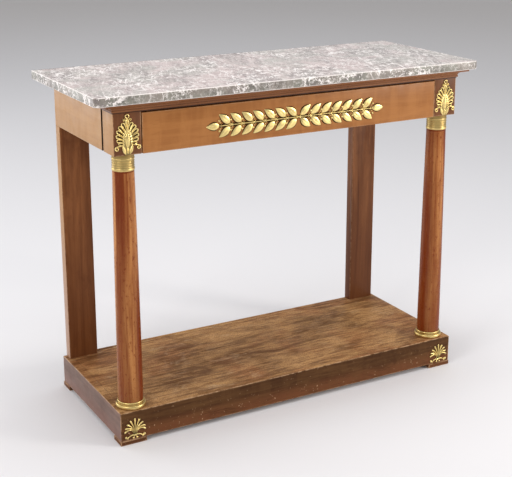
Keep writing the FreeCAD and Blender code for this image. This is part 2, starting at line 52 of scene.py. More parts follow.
# Camera, at the photograph's viewing angle
CAMERA_AZIMUTH = -29.29
CAMERA_ELEVATION = 15.41
CAMERA_DISTANCE = 3.1032
CAMERA_TARGET_HEIGHT = 0.5504
CAMERA_LENS = 80.4
CAMERA_SENSOR = 36.0
CAMERA_SHIFT_X = -0.0085
CAMERA_SHIFT_Y = -0.1

# Studio: each light has a name, a place, a size, its watts and a colour
FLOOR_ROUGHNESS = 0.75
# The floor carries a painted pool of light: lightest round a middle point, darker further off
FLOOR_PAINTED_LIGHT_MIDDLE = (0.3, 2.0, 0.0)
FLOOR_PAINTED_LIGHT_FALLOFF = (1.4, 8.4)
FLOOR_MEETS_SKY = (10.5, 16.0)
SKY_COLOR = (0.90, 0.90, 0.91, 1.0)
SKY_STRENGTH = 0.64
WHITE_LIGHT = (1.0, 1.0, 1.0)
LIGHTS_AIM = (0.0, 0.0, 0.5)
LIGHTS = (
    ("key", (-3.4, -1.4, 2.3), 1.6, 46.0, (1.0, 0.97, 0.93)),
    ("overhead", (0.2, -0.2, 3.4), 2.6, 40.0, WHITE_LIGHT),
    ("side_panel", (-2.9, 3.4, 1.1), 2.6, 60.0, WHITE_LIGHT),
    ("right_front", (2.5, -2.4, 1.2), 0.8, 54.0, (1.0, 0.96, 0.90)),
)

# Boards: eased edges, the worn strip beside them, and how nearly a face has to face an axis
BOARD_EASE = 0.0012
DRAWER_EASE = 0.0010
FOOT_EASE = 0.0008
EASE_SEGMENTS = 3
WORN_STRIP = 0.0032
MERGE_DISTANCE = 1e-6
TOUCH_DISTANCE = 1e-5
FACES_EXACTLY = 0.99
FACES_NEARLY = 0.9
FACES_MAINLY = 0.5

# Marble slab
SLAB_EASE = 0.0026
SLAB_ARRIS_STEPS = 5
SLAB_CORNER = 0.012
SLAB_BACK_CORNER = 0.002
SLAB_CORNER_STEPS = 8
SLAB_POINT_GAP = 0.006
SLAB_CHIP = 0.0009
SLAB_CHIP_RARITY = 4
SLAB_SEED = 7
VEIN_SPACING = 0.19
VEIN_WIDTH = 0.0019

# Cornice: how far each part stands out from the blocks, and how high it is; the neck is painted dark as shade
NECK_OUT = 0.0008
NECK_HEIGHT = 0.0030
NECK_SHADE_FADE = 0.0004
NECK_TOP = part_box("cornice_front")[0].z + NECK_HEIGHT
STEP_OUT = 0.0036
STEP_HEIGHT = 0.0072
COVE_FROM = 0.0026
COVE_OUT = 0.0194
COVE_RISE = 0.0116
COVE_STEPS = 12
LIP_OUT = 0.0245
LIP_FROM = 0.0190
QUIRK_DEPTH = 0.0088

# Columns: radii, how the shaft sits in its brass sleeves, and the drops and tones of its painted shade line
COLUMN_HEAD = 0.0270
COLUMN_FOOT = 0.0320
SHAFT_STEPS = 12
SHAFT_SWELL = 0.0006
SHAFT_INSET = 0.0004
SHAFT_SHOULDER = 0.0008
SLEEVE_WALL = 0.0040
SLEEVE_LAP = 0.001
PAINTED_SHADE_LINE = ((0.0045, 0), (0.0020, -0.9), (0.0, -0.9))
LATHE_SEGMENTS = 112
BEAD_STEPS = 10
QUIRK_TONE = 0.12

# Column stripes, partly figure and partly painted sheen and shade: the direction they are counted from,
# which faces the camera, and their edges and tones at the foot and the head
STRIPES_TOWARD_CAMERA = -119.0
COLUMN_FIGURE_AND_SHEEN = {
    "left": (
        ((-180, 0.6), (-90, 1.4), (-66, 1.2), (-54, 0.45), (-10, 0.5),
         (8, 0.85), (40, 1.15), (54, 0.6), (64, 0.05), (90, 0.05)),
        ((-180, 0.5), (-90, 1.7), (-54, 1.5), (-46, 0.10), (-5, 0.12),
         (8, 0.5), (16, 0.3), (24, 0.9), (60, 1.2), (90, 0.8)),
    ),
    "right": (
        ((-180, 0.6), (-90, 0.40), (-70, 0.3), (-60, 0.05), (-28, 0.1),
         (-14, 0.45), (10, 0.6), (36, 0.6), (54, 0.25), (90, 0.1)),
        ((-180, 0.6), (-90, 0.5), (-66, 0.35), (-40, 0.3), (-8, 0.45),
         (12, 0.65), (40, 0.62), (50, 0.15), (90, 0.05)),
    ),
}
STRIPES_CHANGE = (0.25, 0.62)
STRIPE_WANDER = 8.0
STRIPE_WAVE = 8.5

# Gilt mounts: how their forms are divided and rounded
PETAL_STEPS = 16
PETAL_COLUMNS = 12
GROOVE_START = 0.18
GROOVE_END = 0.14
CLUB_CROWDING = 1.7
CLUB_FLARE = 1.6
CLUB_ROOT_CREST = 0.62
CLUB_DEEP_REACH = 0.6
CLUB_GROOVE_STOP = 0.80
LEAF_SIDE_POWER = 0.85
LEAF_CREST_POWER = 0.5
CURL_WIND_IN = 0.72
CURL_TAPER = 0.35
# Beads and berries are painted darker towards the mount, as shade
BALL_LOW_TONE = 0.15

# Anthemion
FAN_LOBES = 6
FAN_FIRST_TURN = 28
FAN_NEXT_TURN = 21.5
FAN_CENTRE = 0.0455
FAN_SIDE = 0.0245
FAN_RISE = 0.0295
FINIAL_DROP = 0.0064
HOOP_RADIUS = 0.0044
HOOP_STEPS = 28
STIPPLE_ROWS = 7
STIPPLE_FIRST = 0.0235
STIPPLE_PITCH = 0.0043
STIPPLE_SPREAD = 0.0036
STIPPLE_TAPER = 9
STIPPLE_RADIUS = 0.0010
ANTHEMION_FOOT = (
    (-0.0078, 0.0), (0.0078, 0.0), (0.0086, 0.0080), (0.0135, 0.0200), (0.0090, 0.0290),
    (-0.0090, 0.0290), (-0.0135, 0.0200), (-0.0086, 0.0080),
)

# Palmette
FROND_PAIRS = 4
FROND_FAN = 86.0
FROND_ROOT = 0.0183
FROND_SIDE = 0.0268
FROND_RISE = 0.0352
FROND_BEND = 0.0110
TRUNK_DROP = 0.0070

# Laurel branch
LEAF_PAIRS = 7
LEAF_PITCH = 0.0315
LEAF_FIRST = 0.0030
# Each leaf's rim is painted shade round it
LAUREL_LEAF = dict(width=0.0228, crest=0.0036, groove=0.16, fullness=0.80, rim=0.22)
STEM_START = 0.0004
STEM_STEPS = 24

# Colours, as linear values
MARBLE_DARK = (0.215, 0.180, 0.178)
MARBLE_MAUVE = (0.610, 0.502, 0.486)
MARBLE_GREEN = (0.475, 0.449, 0.414)
MARBLE_PALE = (0.760, 0.668, 0.645)
MARBLE_WHITE = (0.960, 0.900, 0.872)
MARBLE_SIDE_PAINTED_SHADE = (0.500, 0.525, 0.480)
APRON_LIGHT = (0.530, 0.288, 0.112)
APRON_DARK = (0.385, 0.190, 0.068)
PILASTER_DARK = (0.088, 0.026, 0.008)
WORN_WOOD = (0.560, 0.350, 0.200)
FLOOR_NEAR = (0.825, 0.820, 0.845)
FLOOR_FAR = (0.600, 0.578, 0.572)
FLOOR_EDGE = (0.950, 0.950, 0.955)

# Timbers. A foot is another tone low down: its share, its colour and the heights it fades between
# Below the top of its neck the cornice is painted dark: painted shade in the gap above the drawer
CORNICE = dict(light=(0.290, 0.118, 0.044), dark=(0.140, 0.046, 0.015), streaks=60.0, gloss=0.36,
               foot=(1.0, (0.055, 0.018, 0.007), NECK_TOP - NECK_SHADE_FADE, NECK_TOP + NECK_SHADE_FADE))
OAK = dict(light=(0.480, 0.300, 0.145), dark=(0.300, 0.165, 0.070), streaks=60.0, gloss=0.62, stain=0.3)
WOODS = {
    "drawer_mahogany": dict(
        light=(0.440, 0.188, 0.060), dark=(0.280, 0.104, 0.030), axis="x",
        streaks=34.0, contrast=0.45, shine=0.12, worn=0.5, mottle=0.5),
    # Lighter and greyer than the drawer's veneer, partly painted light of the lit left side
    "apron_and_lit_side_mahogany": dict(
        light=APRON_LIGHT, dark=APRON_DARK, axis="y",
        streaks=36.0, contrast=0.25, worn=0.5, mottle=0.3),
    "block_mahogany": dict(
        light=(0.215, 0.083, 0.034), dark=(0.095, 0.034, 0.013), axis="z",
        streaks=40.0, contrast=0.4, shine=0.16, worn=0.8),
    "cornice_mahogany_front": dict(CORNICE, axis="x"),
    "cornice_mahogany_side": dict(CORNICE, axis="y"),
    "column_mahogany": dict(
        light=(0.620, 0.275, 0.088), dark=(0.270, 0.082, 0.022), axis="z",
        streaks=60.0, contrast=0.7, gloss=0.26, shine=0.16, stain=0.25,
        turned=(0.165, 0.026, 0.004), foot=(0.55, (0.190, 0.064, 0.015), 0.10, 0.62)),
    # Pilasters' outer sides: lighter than their fronts, with a pale greyish foot, as painted sheen of a lit
    # side
    "pilaster_side_painted_sheen": dict(
        light=APRON_LIGHT, dark=APRON_DARK, axis="z", streaks=30.0, contrast=0.3,
        worn=0.3, foot=(0.8, (0.400, 0.250, 0.190), 0.15, 0.65)),
    # Darker towards the foot: painted shade low down
    "pilaster_mahogany": dict(
        light=(0.255, 0.097, 0.034), dark=PILASTER_DARK, axis="z",
        streaks=44.0, contrast=0.75, shine=0.14, worn=0.3, stain=0.45,
        foot=(0.6, PILASTER_DARK, 0.15, 0.55)),
    "platform_mahogany": dict(
        light=(0.620, 0.350, 0.145), dark=(0.110, 0.042, 0.014), axis="x",
        streaks=60.0, contrast=0.35, gloss=0.46, shine=0.07, worn=0.9, stain=0.4,
        scuff=((0.350, 0.128, 0.052), (0.540, 0.370, 0.215))),
    "plinth_mahogany_front": dict(
        light=(0.122, 0.056, 0.020), dark=(0.046, 0.017, 0.006), axis="x",
        streaks=70.0, contrast=0.8, gloss=0.40, shine=0.08, worn=0.8, stain=0.5,
        mottle=0.3, nicks=0.7, foot=(0.8, (0.165, 0.058, 0.024), 0.020, 0.062)),
    # The plinth's sides: lighter and greyer than its front, as painted sheen of a lit side
    "plinth_side_painted_sheen": dict(
        light=(0.205, 0.118, 0.088), dark=(0.095, 0.052, 0.038), axis="y",
        streaks=70.0, contrast=0.8, worn=0.8, stain=0.4,
        mottle=0.3, nicks=0.4, foot=(0.8, (0.225, 0.105, 0.078), 0.020, 0.062)),
    "oak_long": dict(OAK, axis="x"),
    "oak_deep": dict(OAK, axis="y"),
    "oak_upright": dict(OAK, axis="z"),
    # Painted shade for the faces inside the quirk beside each corner block
    "quirk_painted_shade": dict(light=(0.030, 0.012, 0.006), dark=(0.012, 0.005, 0.003), axis="z", gloss=0.6),
}
METALS = {
    "gilt_bronze": dict(bright=(1.000, 0.790, 0.330), shade=(0.050, 0.022, 0.006), rough=0.34, clean=0.72),
    "brass": dict(bright=(0.720, 0.540, 0.215), shade=(0.210, 0.130, 0.040), rough=0.36, clean=0.88),
}


# Node graphs

class Graph:
    """A material whose nodes are added by short calls."""

    def __init__(self, name):
        self.material = bpy.data.materials.new(name)
        self.material.use_nodes = True
        self.nodes = self.material.node_tree.nodes
        self.links = self.material.node_tree.links
        self.shader = self.nodes["Principled BSDF"]
        self.place = self.nodes.new("ShaderNodeTexCoord").outputs["Object"]

    def add(self, kind, inputs=None, **settings):
        node = self.nodes.new(kind)
        for name, value in settings.items():
            setattr(node, name, value)
        for name, value in (inputs or {}).items():
            self.feed(node.inputs[name], value)
        return node

    def feed(self, socket, value):
        if isinstance(value, bpy.types.NodeSocket):
            self.links.new(value, socket)
        elif socket.type == "RGBA":
            socket.default_value = (*value, 1.0)
        else:
            socket.default_value = value

    def stretched(self, scale, turn=0):
        """Coordinates turned by some degrees about the upright axis first and then scaled."""
        rotation = (0.0, 0.0, radians(turn))
        turned = self.add("ShaderNodeMapping", {"Vector": self.place, "Rotation": rotation}).outputs["Vector"]
        return self.add("ShaderNodeMapping", {"Vector": turned, "Scale": scale}).outputs["Vector"]

    def split(self, vector):
        return self.add("ShaderNodeSeparateXYZ", {"Vector": vector}).outputs

    def height(self, low, high):
        """0 at a low level and 1 at a high one."""
        return self.level(self.split(self.place)["Z"], low, high)

    def noise(self, vector, scale, detail, rough, distortion=0.0):
        inputs = {"Vector": vector, "Scale": scale, "Detail": detail, "Roughness": rough,
                  "Distortion": distortion}
        return self.add("ShaderNodeTexNoise", inputs).outputs["Fac"]

    def grain(self, axis, lengthwise, scale, detail, rough, distortion=0.0, across=1.0):
        """Noise that is drawn out along the grain of a board."""
        scales = tuple(lengthwise if name == axis else across for name in "xyz")
        return self.noise(self.stretched(scales), scale, detail, rough, distortion)

    def level(self, value, low, high, to_low=0.0, to_high=1.0):
        inputs = {"Value": value, "From Min": low, "From Max": high, "To Min": to_low, "To Max": to_high}
        return self.add("ShaderNodeMapRange", inputs, interpolation_type="SMOOTHSTEP").outputs["Result"]

    def calc(self, operation, a, b, kind="ShaderNodeMath"):
        node = self.add(kind, operation=operation)
        self.feed(node.inputs[0], a)
        self.feed(node.inputs[1], b)
        return node.outputs[0]

    def product(self, a, b):
        return self.calc("MULTIPLY", a, b)

    def vector(self, operation, a, b):
        return self.calc(operation, a, b, "ShaderNodeVectorMath")

    def mix(self, share, a, b, kind="MIX"):
        node = self.add("ShaderNodeMix", data_type="RGBA", blend_type=kind)
        self.feed(node.inputs["Factor"], share)
        self.feed(node.inputs[6], a)
        self.feed(node.inputs[7], b)
        return node.outputs[2]

    def tint(self, color, other, mask, low, high, most):
        """Another colour where a mask is high."""
        return self.mix(self.level(mask, low, high, 0.0, most), color, other)

    def shade(self, color, other, mask, low, high, most):
        """Another colour where a mask is low."""
        return self.mix(self.level(mask, low, high, most, 0.0), color, other)

    def attribute(self, name, output="Fac"):
        return self.add("ShaderNodeAttribute", attribute_name=name).outputs[output]

    def ridge(self, vector, scale, width, detail, distortion):
        """Thin wandering lines, 1 on the line and 0 beside it."""
        off = self.calc("SUBTRACT", self.noise(vector, scale, detail, 0.55, distortion), 0.5)
        return self.level(self.calc("ABSOLUTE", off, 0.0), 0.0, width, 1.0, 0.0)

    def edge_distance(self):
        """How far a point on a board is from its nearest edge, from the board's box."""
        above = self.vector("SUBTRACT", self.place, self.attribute("low", "Vector"))
        below = self.vector("SUBTRACT", self.attribute("high", "Vector"), self.place)
        x, y, z = self.split(self.vector("MINIMUM", above, below))
        pair_low = self.calc("MINIMUM", x, y)
        pair_high = self.calc("MAXIMUM", x, y)
        return self.calc("MINIMUM", pair_high, self.calc("MAXIMUM", pair_low, z))

    def bump(self, height, strength, distance):
        node = self.add("ShaderNodeBump", {"Height": height, "Strength": strength, "Distance": distance})
        self.feed(self.shader.inputs["Normal"], node.outputs["Normal"])

    def surface(self, color, roughness, **constants):
        self.feed(self.shader.inputs["Base Color"], color)
        self.feed(self.shader.inputs["Roughness"], roughness)
        for name, value in constants.items():
            self.shader.inputs[name.replace("_", " ")].default_value = value
        return self.material


# Timber, laid on in layers

def wood(name, light, dark, axis, streaks=42.0, contrast=0.5, gloss=0.34, shine=0.24,
         worn=0.0, stain=0.0, mottle=0.0, nicks=0.0, foot=None, turned=None, scuff=None):
    """Polished old timber: streaks and pores along the grain, slow changes of tone, worn edges."""
    g = Graph(name)
    bands = g.grain(axis, 0.055, streaks, 6.0, 0.62, 0.7)
    color = streaked(g, bands, light, dark, axis, contrast)
    if foot:
        most, other, low, high = foot
        color = g.mix(g.height(low, high), g.mix(most, color, other), color)
    if turned:
        color = turned_figure_and_sheen(g, color, bands, light, turned, axis)
    if mottle:
        ripple = g.grain(axis, 1.0, 46.0, 3.0, 0.55, 0.4, across=0.16)
        color = g.tint(color, light, ripple, 0.40, 0.66, mottle)
    pores = g.grain(axis, 0.05, 480.0, 2.0, 0.6)
    dots = g.level(pores, 0.58, 0.72, 0.0, 0.6)
    color = g.mix(dots, color, dark)
    if scuff:
        color = scuffed(g, color, light, dark, *scuff, axis)
    if stain:
        blot = g.grain(axis, 0.45, 11.0, 6.0, 0.68, 1.4)
        color = g.tint(color, dark, blot, 0.50, 0.68, stain)
    if worn:
        color = worn_edges(g, color, worn)
    if nicks:
        color = nicked(g, color, nicks)
    g.bump(g.calc("SUBTRACT", bands, dots), strength=0.10, distance=0.0006)
    sheen = g.noise(g.place, 26.0, 4.0, 0.6)
    roughness = g.level(sheen, 0.3, 0.75, gloss - 0.06, gloss + 0.12)
    return g.surface(color, roughness, Specular_IOR_Level=shine)


def streaked(g, bands, light, dark, axis, contrast):
    wide = g.grain(axis, 0.30, 9.0, 3.0, 0.5, 1.2)
    share = g.calc("ADD", g.product(bands, 0.72), g.product(wide, 0.28))
    half = 0.24 / (0.35 + contrast)
    return g.mix(g.level(share, 0.5 - half, 0.5 + half), dark, light)


def turned_figure_and_sheen(g, color, bands, light, red, axis):
    """The sides of a turned shaft in light and red, partly figure and partly painted sheen and shade, with
    fine lines and specks.
    """
    stripe = g.calc("ADD", g.attribute("relief"), g.product(bands, 0.5))
    color = g.mix(g.level(stripe, 0.20, 1.15), red, color)
    color = g.tint(color, light, stripe, 1.15, 1.75, 0.9)
    lines = g.grain(axis, 0.04, 170.0, 3.0, 0.6)
    color = g.tint(color, red, lines, 0.50, 0.64, 0.5)
    specks = g.grain(axis, 0.45, 160.0, 3.0, 0.7)
    return g.tint(color, red, specks, 0.58, 0.66, 0.75)


def scuffed(g, color, light, dark, red, pale, axis):
    """A surface that has been used: red zones, broad clouds, strokes, grit and rubbed places."""
    zones = g.grain(axis, 0.7, 4.6, 4.0, 0.6, 0.9)
    color = g.tint(color, red, zones, 0.44, 0.60, 0.5)
    broad = g.grain(axis, 0.55, 8.0, 5.0, 0.62, 0.6)
    color = g.shade(color, dark, broad, 0.34, 0.50, 0.75)
    color = g.tint(color, light, broad, 0.48, 0.64, 0.70)
    strokes = g.grain(axis, 0.13, 120.0, 5.0, 0.7, 0.3)
    color = g.shade(color, dark, strokes, 0.38, 0.52, 0.6)
    color = g.tint(color, light, strokes, 0.52, 0.64, 0.5)
    grit = g.noise(g.place, 300.0, 3.0, 0.7)
    color = g.shade(color, dark, grit, 0.38, 0.54, 0.55)
    rubbed = g.grain(axis, 0.5, 30.0, 6.0, 0.75, 0.8)
    return g.tint(color, pale, rubbed, 0.54, 0.72, 0.5)


def worn_edges(g, color, most):
    near = g.level(g.edge_distance(), 0.0002, WORN_STRIP, 1.0, 0.0)
    rubbed = g.level(g.noise(g.place, 60.0, 5.0, 0.7), 0.34, 0.62)
    return g.mix(g.product(g.product(near, rubbed), most), color, WORN_WOOD)


def nicked(g, color, most):
    spots = g.level(g.noise(g.place, 150.0, 2.0, 0.5), 0.68, 0.74, 0.0, most)
    low_down = g.level(g.height(0.0, 0.10), 0.25, 0.55, 1.0, 0.3)
    return g.mix(g.product(spots, low_down), color, WORN_WOOD)


# Marble, metal and floor

def marble():
    """Grey-mauve marble with greenish zones, thick with short pale strokes and flecks."""
    g = Graph("marble")
    slant = g.stretched((1.0, 0.27, 0.7), 20)
    grain = g.noise(slant, 150.0, 4.0, 0.66, 0.4)
    body = marble_ground(g, slant, grain)
    crowds = g.noise(g.place, 5.6, 4.0, 0.6, 0.4)
    thick = g.level(crowds, 0.38, 0.56, 0.30, 1.0)
    body = marble_strokes(g, body, slant, thick)
    body = marble_curls(g, body, thick)
    body = marble_veins(g, body)
    # A pale band along every arris, partly wear and partly painted highlight
    near = g.level(g.edge_distance(), 0.0006, 0.0030, 1.0, 0.0)
    body = g.mix(g.product(near, 0.8), body, MARBLE_WHITE)
    g.bump(grain, strength=0.03, distance=0.0004)
    return g.surface(body, g.level(grain, 0.3, 0.7, 0.24, 0.38), Specular_IOR_Level=0.4)


def marble_ground(g, slant, grain):
    """Mauve and green zones, dark clouds and a pale grain, darker and greener on the sides as painted shade.
    """
    zones = g.noise(g.place, 6.5, 4.0, 0.6, 0.6)
    body = g.mix(g.level(zones, 0.42, 0.60), MARBLE_GREEN, MARBLE_MAUVE)
    clouds = g.noise(slant, 20.0, 6.0, 0.64, 0.9)
    body = g.shade(body, MARBLE_DARK, clouds, 0.36, 0.56, 0.58)
    body = g.tint(body, MARBLE_PALE, grain, 0.46, 0.66, 0.42)
    # Painted shade: faces that do not face up are darkened
    edge = g.mix(1.0, body, MARBLE_SIDE_PAINTED_SHADE, "MULTIPLY")
    up = g.split(g.add("ShaderNodeNewGeometry").outputs["Normal"])["Z"]
    return g.mix(g.level(up, 0.3, 0.8), edge, body)


def marble_strokes(g, body, slant, thick):
    """Pale strokes one way and flecks across them."""
    strokes = g.noise(slant, 84.0, 3.0, 0.55, 1.4)
    body = g.mix(g.product(g.level(strokes, 0.565, 0.605), thick), body, MARBLE_WHITE)
    cross = g.stretched((0.45, 1.0, 0.8), -20)
    flecks = g.noise(cross, 76.0, 3.0, 0.6, 0.6)
    return g.mix(g.product(g.level(flecks, 0.600, 0.640, 0.0, 0.95), thick), body, MARBLE_WHITE)


def marble_curls(g, body, thick):
    """Short dark curls, and pale ones where those are missing."""
    broken = g.level(g.noise(g.place, 46.0, 2.0, 0.5), 0.44, 0.58)
    dark = g.ridge(g.place, scale=60.0, width=0.060, detail=3.0, distortion=1.8)
    dark = g.product(dark, g.calc("SUBTRACT", 1.0, broken))
    body = g.mix(g.product(dark, g.product(thick, 0.9)), body, MARBLE_DARK)
    pale = g.ridge(g.place, scale=50.0, width=0.050, detail=3.0, distortion=1.6)
    return g.mix(g.product(g.product(pale, broken), thick), body, MARBLE_WHITE)


def marble_veins(g, body):
    wander = g.product(g.noise(g.place, 4.0, 5.0, 0.5), 0.24)
    across = g.calc("ADD", g.split(g.stretched((1.0, 1.0, 1.0), 12))["X"], wander)
    vein = g.level(g.calc("PINGPONG", across, VEIN_SPACING / 2), 0.0, VEIN_WIDTH, 1.0, 0.0)
    shown = g.level(g.noise(g.place, 7.0, 3.0, 0.5), 0.46, 0.54)
    return g.mix(g.product(vein, shown), body, MARBLE_WHITE)


def metal(name, bright, shade, rough, clean):
    """Chased metal, dark in its recesses with patina and painted shade. The cleaner it is, the brighter its
    dull patches.
    """
    g = Graph(name)
    patches = g.noise(g.place, 65.0, 4.0, 0.6)
    color = g.mix(g.level(patches, 0.30, 0.72, clean, 1.0), shade, bright)
    raised = g.level(g.attribute("relief"), 0.02, 0.62)
    color = g.mix(raised, shade, color)
    marks = g.noise(g.place, 420.0, 3.0, 0.6)
    g.bump(marks, strength=0.10, distance=0.0003)
    return g.surface(color, g.level(patches, 0.3, 0.7, rough - 0.06, rough + 0.12), Metallic=1.0)


def floor_material():
    """A pale floor with a painted pool of light, lightest round the object, and pale again where it meets the
    sky.
    """
    g = Graph("floor")
    away = g.vector("SUBTRACT", g.place, FLOOR_PAINTED_LIGHT_MIDDLE)
    far = g.add("ShaderNodeVectorMath", {"Vector": away}, operation="LENGTH").outputs["Value"]
    color = g.mix(g.level(far, *FLOOR_PAINTED_LIGHT_FALLOFF), FLOOR_NEAR, FLOOR_FAR)
    color = g.mix(g.level(far, *FLOOR_MEETS_SKY), color, FLOOR_EDGE)
    return g.surface(color, FLOOR_ROUGHNESS)


# Meshes

def finished(name, bm, material, smooth_angle=35.0):
    """Turns a mesh under construction into an object."""
    bmesh.ops.recalc_face_normals(bm, faces=bm.faces)
    mesh = bpy.data.meshes.new(name)
    bm.to_mesh(mesh)
    bm.free()
    mesh.shade_smooth()
    mesh.set_sharp_from_angle(angle=radians(smooth_angle))
    piece = bpy.data.objects.new(name, mesh)
    bpy.context.collection.objects.link(piece)
    mesh.materials.append(material)
    return piece


def dressed(piece, body, slot, *nodes):
    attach(piece, body)
    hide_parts(*nodes)
    return piece


def join_loops(bm, first, second):
    """Faces all the way round between two closed loops of points."""
    for index in range(len(first)):
        after = (index + 1) % len(first)
        bm.faces.new((first[index], first[after], second[after], second[index]))


def on_outside(edge, lo, hi):
    """True if both faces of an edge lie in two sides of the box."""
    sides = set()
    for face in edge.link_faces:
        for axis in range(3):
            for bound in (lo, hi):
                away = abs(face.verts[0].co[axis] - bound[axis])
                if abs(face.normal[axis]) > FACES_EXACTLY and away < TOUCH_DISTANCE:
                    sides.add((axis, bound is lo))
    return len(sides) == 2


def keep_box(mesh, lo, hi):
    """Tells the materials where a board's sides are."""
    for name, corner in (("low", lo), ("high", hi)):
        layer = mesh.attributes.new(name, "FLOAT_VECTOR", "POINT")
        layer.data.foreach_set("vector", list(corner) * len(mesh.vertices))


def ease(bm, edges, radius):
    bmesh.ops.bevel(bm, geom=edges, offset=radius, segments=EASE_SEGMENTS, profile=0.5, affect="EDGES")


def eased(node, material, radius=BOARD_EASE, body="carcase", slot="mahogany", top=None, whole=None):
    """A copy of a node with its outer edges eased. Its top can have a material of its own, and
    its wear can follow the box of the whole that it belongs to."""
    bm = bmesh.new()
    bm.from_mesh(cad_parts[node].data)
    bmesh.ops.remove_doubles(bm, verts=bm.verts, dist=MERGE_DISTANCE)
    bmesh.ops.dissolve_limit(bm, angle_limit=radians(0.5), verts=bm.verts, edges=bm.edges)
    lo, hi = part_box(node)
    ease(bm, [edge for edge in bm.edges if edge.is_manifold and on_outside(edge, lo, hi)], radius)
    return boarded(node, bm, *(whole or (lo, hi)), material, body, slot, top)


def board(node, material, radius=BOARD_EASE, whole=None):
    """A plain board in a node's place with its edges eased."""
    lo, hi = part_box(node)
    bm = bmesh.new()
    bmesh.ops.create_cube(bm, size=1.0)
    for vert in bm.verts:
        for axis in range(3):
            vert.co[axis] = hi[axis] if vert.co[axis] > 0 else lo[axis]
    if radius:
        ease(bm, bm.edges[:], radius)
    return boarded(node, bm, *(whole or (lo, hi)), material, "carcase", "mahogany")


def boarded(node, bm, lo, hi, material, body, slot, top=None):
    piece = finished(node + "_eased", bm, material)
    keep_box(piece.data, lo, hi)
    if top:
        refaced(piece, top, lambda face: face.normal.z > FACES_NEARLY)
    return dressed(piece, body, slot, node)


def refaced(piece, material, picks):
    """Gives some of a piece's faces a material of their own."""
    piece.data.materials.append(material)
    last = len(piece.data.materials) - 1
    for face in piece.data.polygons:
        if picks(face):
            face.material_index = last


def whole_box(*nodes):
    """The box round several nodes."""
    lows, highs = zip(*(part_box(node) for node in nodes))
    return Vector(tuple(map(min, zip(*lows)))), Vector(tuple(map(max, zip(*highs))))


def centre_of(node):
    lo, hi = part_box(node)
    return (lo + hi) / 2


# Marble slab

def make_slab(node, material):
    """The marble slab: rounded front corners and a worn, slightly uneven arris."""
    lo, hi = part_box(node)
    rng = random.Random(SLAB_SEED)
    outline = slab_outline(lo, hi)
    uneven = [rng.random() ** SLAB_CHIP_RARITY * SLAB_CHIP for _ in outline]
    bm = bmesh.new()
    loops = []
    for inset, height in slab_levels(lo, hi):
        loop = []
        for (x, y, nx, ny), chip in zip(outline, uneven):
            pull = inset + chip
            loop.append(bm.verts.new((x - nx * pull, y - ny * pull, height)))
        loops.append(loop)
    for high, low in zip(loops, loops[1:]):
        join_loops(bm, high, low)
    bm.faces.new(loops[0])
    bm.faces.new(loops[-1][::-1])
    return boarded(node, bm, lo, hi, material, "carcase", "marble")


def slab_levels(lo, hi):
    """How far the slab's side is drawn in at each height, from the top down."""
    rings = []
    for index in range(SLAB_ARRIS_STEPS + 1):
        turn = pi / 2 * index / SLAB_ARRIS_STEPS
        rings.append((SLAB_EASE * (1 - sin(turn)), SLAB_EASE * (1 - cos(turn))))
    upper = [(inset, hi.z - drop) for inset, drop in rings]
    lower = [(inset, lo.z + drop) for inset, drop in rings[::-1]]
    return upper + lower


def slab_outline(lo, hi):
    """Points round the slab with the direction that each one faces."""
    corners = (
        (lo.x, lo.y, SLAB_CORNER, 180), (hi.x, lo.y, SLAB_CORNER, 270),
        (hi.x, hi.y, SLAB_BACK_CORNER, 0), (lo.x, hi.y, SLAB_BACK_CORNER, 90),
    )
    points = []
    for x, y, radius, start in corners:
        middle_x = x + copysign(radius, -x)
        middle_y = y + copysign(radius, -y)
        for index in range(SLAB_CORNER_STEPS + 1):
            turn = radians(start + 90 * index / SLAB_CORNER_STEPS)
            nx, ny = cos(turn), sin(turn)
            points.append((middle_x + radius * nx, middle_y + radius * ny, nx, ny))
    return filled_in(points)


def filled_in(points):
    """The same points with more of them along the straight sides."""
    filled = []
    for here, after in zip(points, points[1:] + points[:1]):
        steps = max(1, int(dist(here[:2], after[:2]) / SLAB_POINT_GAP))
        for index in range(steps):
            x, y = [a + (b - a) * (index / steps) for a, b in zip(here[:2], after[:2])]
            filled.append((x, y, *here[2:]))
    return filled


# Turned pieces

def figure_and_sheen_tone(stripes, angle):
    """The tone of a column in one direction, partly figure and partly painted sheen and shade, between the
    two edges beside it.
    """
    offset = (angle - STRIPES_TOWARD_CAMERA + 180) % 360 - 180
    closed = stripes + ((180, stripes[0][1]),)
    for (start, tone), (end, next_tone) in zip(closed, closed[1:]):
        if start <= offset <= end:
            return tone + (next_tone - tone) * (offset - start) / (end - start)


def column_tone(stripes, angle, height):
    """The tone between those at the foot and the head, with an eased change on the way up."""
    low, high = STRIPES_CHANGE
    share = min(1.0, max(0.0, (height - low) / (high - low)))
    foot_tone, head_tone = [figure_and_sheen_tone(marks, angle) for marks in stripes]
    return foot_tone + (head_tone - foot_tone) * (share * share * (3 - 2 * share))


def lathe(node, profile, x, y, material, slot, stripes=None):
    """A turned piece about the upright axis at x, y, from a closed profile of radius, height and
    tone; low tones paint shade. Timber can have stripes of figure and painted sheen."""
    bm = bmesh.new()
    relief = bm.verts.layers.float.new("relief")
    rings = []
    for radius, height, raised in profile:
        wander = STRIPE_WANDER * sin(STRIPE_WAVE * height + x)
        ring = []
        for index in range(LATHE_SEGMENTS):
            turn = 2 * pi * index / LATHE_SEGMENTS
            vert = bm.verts.new((x + radius * cos(turn), y + radius * sin(turn), height))
            vert[relief] = raised
            if stripes:
                vert[relief] += column_tone(stripes, degrees(turn) + wander, height)
            ring.append(vert)
        rings.append(ring)
    for low, high in zip(rings, rings[1:] + rings[:1]):
        join_loops(bm, low, high)
    return dressed(finished(node + "_turned", bm, material), "carcase", slot, node)


